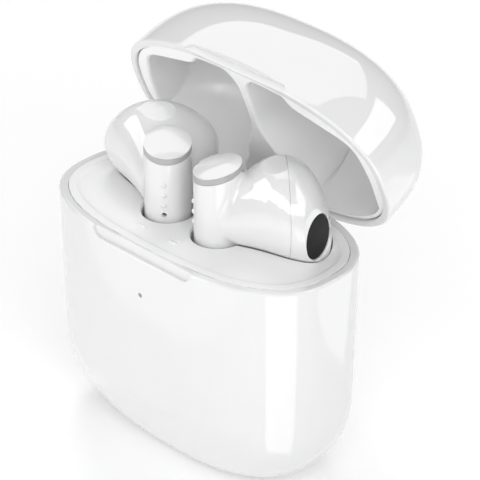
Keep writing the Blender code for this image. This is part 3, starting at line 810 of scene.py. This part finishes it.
# ---------------------------------------------------------------------------------------------
# Earbud front shell and sound grille. The front of the head is a second glossy moulding, joined
# at a fine seam. Its oval opening has an eased edge and holds a black woven metal grille.
SEAM_GAP = 0.035
SOUND_FACING = Vector((0.973, 0.217, 0.084)).normalized()
SOUND = Vector((19.4, 2.8, RIM + 3.4))
SOUND_RADIUS = 3.3
SOUND_EASE = 0.22
SOUND_OPENING = (
    (SOUND_RADIUS, -1.0), (SOUND_RADIUS, -SOUND_EASE), (SOUND_RADIUS + 0.07, -0.07),
    (SOUND_RADIUS + SOUND_EASE, 0.02), (SOUND_RADIUS + SOUND_EASE, 4.0),
)

front = worked(moulded("earbud_front_right", head_egg(0.0, 90, 150)), [
    ("DIFFERENCE", head_egg(-HEAD_WALL, 24, 40), RIGHT),
    ("DIFFERENCE", half_space(SEAM + SEAM_FACING * SEAM_GAP, -SEAM_FACING), RIGHT),
    ("DIFFERENCE", half_space(SOUND, SOUND_FACING), RIGHT),
    ("DIFFERENCE", turned(SOUND, SOUND_FACING, SOUND_OPENING, 96), RIGHT),
])
fit_pair(front, "earbud_front", gloss_white, "front_shell")


def woven(name, thread, pitch):
    """A black woven metal gauze: two sets of fine threads that cross, with the holes between them painted
    darker as painted shade.
    """
    made = bpy.data.materials.new(name)
    made.use_nodes = True
    nodes = made.node_tree.nodes
    join = made.node_tree.links.new
    shader = nodes["Principled BSDF"]
    place = nodes.new("ShaderNodeTexCoord").outputs["Object"]
    bands = []
    for direction in ("Y", "Z"):
        wave = nodes.new("ShaderNodeTexWave")
        wave.bands_direction = direction
        wave.inputs["Scale"].default_value = 0.314 / (pitch * MM)
        wave.inputs["Distortion"].default_value = 0.15
        join(place, wave.inputs["Vector"])
        bands.append(wave.outputs["Fac"])
    height = nodes.new("ShaderNodeMath")
    height.operation = "MULTIPLY"
    join(bands[0], height.inputs[0])
    join(bands[1], height.inputs[1])
    # The holes between the threads get the darkest tone. It is painted shade for the dark space behind the
    # gauze.
    tone = nodes.new("ShaderNodeValToRGB")
    tone.color_ramp.elements[0].color = (*thread, 1.0)
    tone.color_ramp.elements[0].position = 0.2
    tone.color_ramp.elements[1].color = (0.003, 0.003, 0.003, 1.0)
    tone.color_ramp.elements[1].position = 0.7
    join(height.outputs[0], tone.inputs["Fac"])
    join(tone.outputs["Color"], shader.inputs["Base Color"])
    rough = nodes.new("ShaderNodeMapRange")
    rough.inputs["To Min"].default_value = 0.42
    rough.inputs["To Max"].default_value = 0.8
    join(height.outputs[0], rough.inputs["Value"])
    join(rough.outputs["Result"], shader.inputs["Roughness"])
    raised = nodes.new("ShaderNodeBump")
    raised.inputs["Distance"].default_value = 0.03 * MM
    raised.invert = True
    join(height.outputs[0], raised.inputs["Height"])
    join(raised.outputs["Normal"], shader.inputs["Normal"])
    shader.inputs["Specular IOR Level"].default_value = 0.2
    return made


GRILLE_GAP = 0.12
GRILLE_SET = -0.25
GRILLE_DOME = 0.14

gauze = woven("black_woven_gauze", (0.006, 0.006, 0.0062), 0.2)
edge = SOUND_RADIUS - GRILLE_GAP
profile = [(edge, -0.6), (edge, -0.32), (edge - 0.06, GRILLE_SET)]
for step in range(1, 9):
    share = step / 8
    profile.append((edge * (1 - share) + 0.05, GRILLE_SET + GRILLE_DOME * math.sin(math.pi / 2 * share)))
grille = moulded("earbud_grille_right", turned(SOUND, SOUND_FACING, profile, 72))
fit_pair(grille, "earbud_grille", gauze, "sound_mesh")


# ---------------------------------------------------------------------------------------------
# Earbud ring, cap and foot. A silver-painted band and a domed glossy white touch cap close the
# top of each stem on a slope, and a white plug with two gold contacts closes the bottom.
BAND_EASE = 0.06
CAP_EDGE = 0.16
CAP_LIP = ((0.12, 0.03), (0.02, 0.07), (0.0, CAP_EDGE))
CAP_DOME = 0.56
CAP_CURVE = 2.3
CROWN_RADIUS = 0.06
silver = finish("silver_paint", (0.43, 0.43, 0.435), (0.40, 0.40, 0.405),
                (0.34, 0.46), 3.0, 0.08, 0.0015, 0.2)

rings = [stem_ring(STEM_RADIUS - BAND_EASE, -RING_HEIGHT), stem_ring(STEM_RADIUS, -RING_HEIGHT + BAND_EASE),
         stem_ring(STEM_RADIUS, -0.06), stem_ring(STEM_RADIUS - BAND_EASE, 0.0),
         stem_ring(STEM_BORE, 0.0), stem_ring(STEM_BORE, -RING_HEIGHT)]
band = moulded("earbud_ring_right", lofted(rings, ends=False))
fit_pair(band, "earbud_ring", silver, "cap_ring")

rings = [stem_ring(STEM_RADIUS - inset, rise) for inset, rise in CAP_LIP]
for step in range(14):
    share = (step + 1) / 14
    reach = max(STEM_RADIUS * math.cos(math.pi / 2 * share ** 0.8), CROWN_RADIUS)
    rings.append(stem_ring(reach, CAP_EDGE + CAP_DOME * (1 - (reach / STEM_RADIUS) ** CAP_CURVE)))
touch_cap = moulded("earbud_cap_right", lofted(rings))
fit_pair(touch_cap, "earbud_cap", gloss_white, "touch_cap")
dress(gloss_white, "stem_end_right", "stem_end_left")


# ---------------------------------------------------------------------------------------------
# Studio. A pale table under soft light: four lights for the matt surfaces, five panels that only
# the gloss picks up, and three cards on the table that only show as reflections. The camera stands
# above and to the right of the front, and looks down on the open case through a long lens.
table = bpy.data.meshes.new("table")
sheet = bmesh.new()
bmesh.ops.create_grid(sheet, x_segments=8, y_segments=8, size=3.0)
sheet.to_mesh(table)
sheet.free()
floor = bpy.data.objects.new("table", table)
floor.location.z = -0.00004
bpy.context.scene.collection.objects.link(floor)
pale_table = finish("pale_table", (0.93, 0.93, 0.93), (0.91, 0.91, 0.91), (0.5, 0.6), 40.0, 1.0, 0.004)
# The table glows a little, and has no shine of its own for the cards to show in.
table_shader = pale_table.node_tree.nodes["Principled BSDF"]
table_shader.inputs["Emission Color"].default_value = (1.0, 1.0, 1.0, 1.0)
table_shader.inputs["Emission Strength"].default_value = 0.13
table_shader.inputs["Specular IOR Level"].default_value = 0.0
table.materials.append(pale_table)

world = bpy.data.worlds.new("studio")
world.use_nodes = True
world.node_tree.nodes["Background"].inputs["Color"].default_value = (1.0, 1.0, 1.0, 1.0)
world.node_tree.nodes["Background"].inputs["Strength"].default_value = 0.45
bpy.context.scene.world = world
bpy.context.scene.view_settings.view_transform = "Standard"

AIM = Vector((0.0, 0.0, 0.035))


def soft_panel(name, azimuth, elevation, distance, size, brightness, matt=True, gloss=True):
    """A rectangular soft light facing the case, for matt surfaces, for gloss or for both.

    Azimuth 0 is in front, and 90 is to the right.
    """
    lamp = bpy.data.lights.new(name, "AREA")
    lamp.shape = "RECTANGLE"
    lamp.size, lamp.size_y = size
    lamp.energy = brightness * math.pi * size[0] * size[1]
    turn, lift = math.radians(azimuth), math.radians(elevation)
    made = bpy.data.objects.new(name, lamp)
    made.location = AIM + distance * Vector(
        (math.sin(turn) * math.cos(lift), -math.cos(turn) * math.cos(lift), math.sin(lift)))
    made.rotation_euler = (AIM - made.location).to_track_quat("-Z", "Y").to_euler()
    made.visible_camera = False
    made.visible_diffuse = matt
    made.visible_glossy = gloss
    bpy.context.scene.collection.objects.link(made)
    return made


soft_panel("fill_front", -14, 14, 0.75, (0.90, 0.40), 1.5, gloss=False)
soft_panel("fill_right", 88, 22, 0.75, (0.80, 0.40), 1.3, gloss=False)
soft_panel("fill_corner", 50, 40, 0.75, (0.50, 0.50), 2.2, gloss=False)
soft_panel("key_over", -134, 55, 0.80, (0.34, 0.34), 5.2, gloss=False)
soft_panel("panel_left", -44, 30, 0.70, (0.52, 0.36), 2.6, matt=False)
soft_panel("panel_middle", 4, 35, 0.70, (0.76, 0.30), 2.6, matt=False)
soft_panel("panel_right", 66, 37, 0.70, (0.92, 0.22), 2.6, matt=False)
soft_panel("panel_back", 124, 42, 0.70, (0.60, 0.40), 2.4, matt=False)
soft_panel("panel_over", -128, 58, 0.80, (0.86, 0.70), 1.4, matt=False)


def bounce_card(name, corners, brightness):
    """A white card lying on the table, which shows only as a reflection in the polished sides."""
    sheet = bmesh.new()
    sheet.faces.new([sheet.verts.new((x * MM, y * MM, 0.1 * MM)) for x, y in corners])
    data = bpy.data.meshes.new(name)
    sheet.to_mesh(data)
    sheet.free()
    glowing = bpy.data.materials.new(name)
    glowing.use_nodes = True
    shader = glowing.node_tree.nodes["Principled BSDF"]
    shader.inputs["Emission Color"].default_value = (1.0, 1.0, 1.0, 1.0)
    shader.inputs["Emission Strength"].default_value = brightness
    data.materials.append(glowing)
    card = bpy.data.objects.new(name, data)
    card.visible_camera = False
    card.visible_diffuse = False
    card.visible_shadow = False
    bpy.context.scene.collection.objects.link(card)
    return card


bounce_card("card_left", ((-14.5, -40.6), (-110.0, -30.0), (-160.0, -140.0),
                          (40.0, -160.0), (40.0, -80.0)), 0.45)
bounce_card("card_corner", ((23.2, -13.5), (95.7, -139.0), (171.0, -32.0), (28.4, -7.1)), 1.2)
bounce_card("card_right", ((38.0, 30.0), (70.0, 20.0), (100.0, 90.0), (30.0, 100.0)), 0.7)

lens = bpy.data.cameras.new("camera")
lens.lens = 203.76
lens.sensor_width = 36.0
lens.clip_start = 0.01
camera = bpy.data.objects.new("camera", lens)
camera.location = (0.23833, -0.23551, 0.23203)
look_at = Vector((0.00675, 0.0, 0.03537))
camera.rotation_euler = (look_at - camera.location).to_track_quat("-Z", "Y").to_euler()
bpy.context.scene.collection.objects.link(camera)
bpy.context.scene.camera = camera
